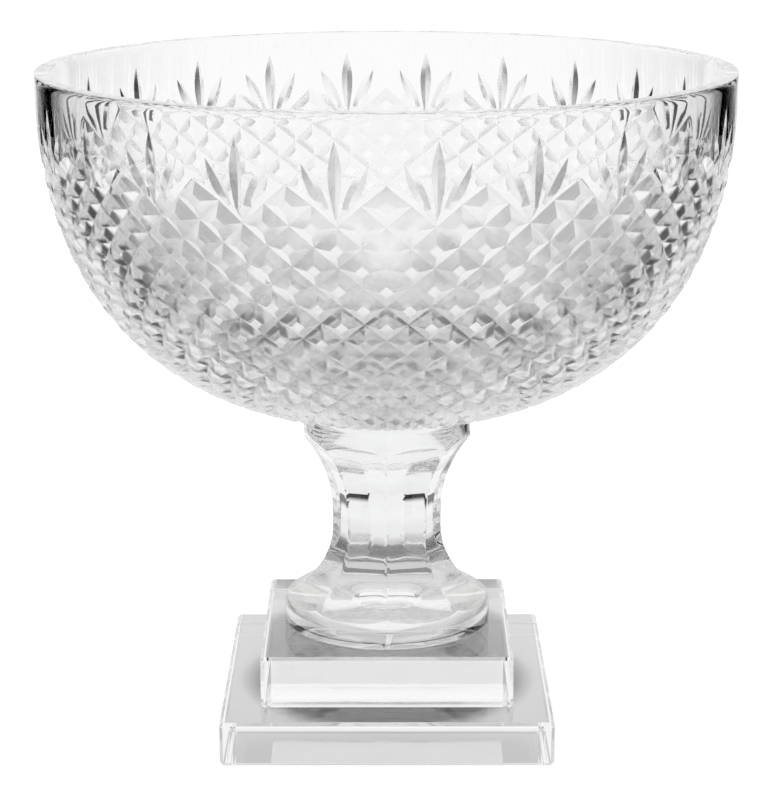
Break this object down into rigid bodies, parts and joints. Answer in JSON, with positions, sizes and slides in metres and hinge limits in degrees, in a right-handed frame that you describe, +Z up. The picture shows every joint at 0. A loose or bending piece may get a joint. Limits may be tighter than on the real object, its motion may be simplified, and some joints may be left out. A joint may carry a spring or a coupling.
{
  "type": "cut glass trifle bowl",
  "caption": "Deep round cut-crystal trifle bowl with a diamond and fan pattern on a panel-cut waisted stem and a square stepped plinth.",
  "frame": {"origin": "centre of the lower plinth slab's underside, on the surface the bowl stands on", "axes": "+Z up along the bowl's axis; the plinth's sides face +X, -X, +Y and -Y, and the pictured side faces -Y"},
  "size_m": [0.231, 0.231, 0.2244],
  "materials": {
    "crystal": "cut and polished",
    "bond": "clear cured film"
  },
  "bodies": {
    "root": {"bowl": "crystal", "stem": "crystal", "upper_plinth": "crystal", "lower_plinth": "crystal", "bowl_bond": "bond", "stem_bond": "bond", "plinth_bond": "bond"}
  },
  "joints": []
}
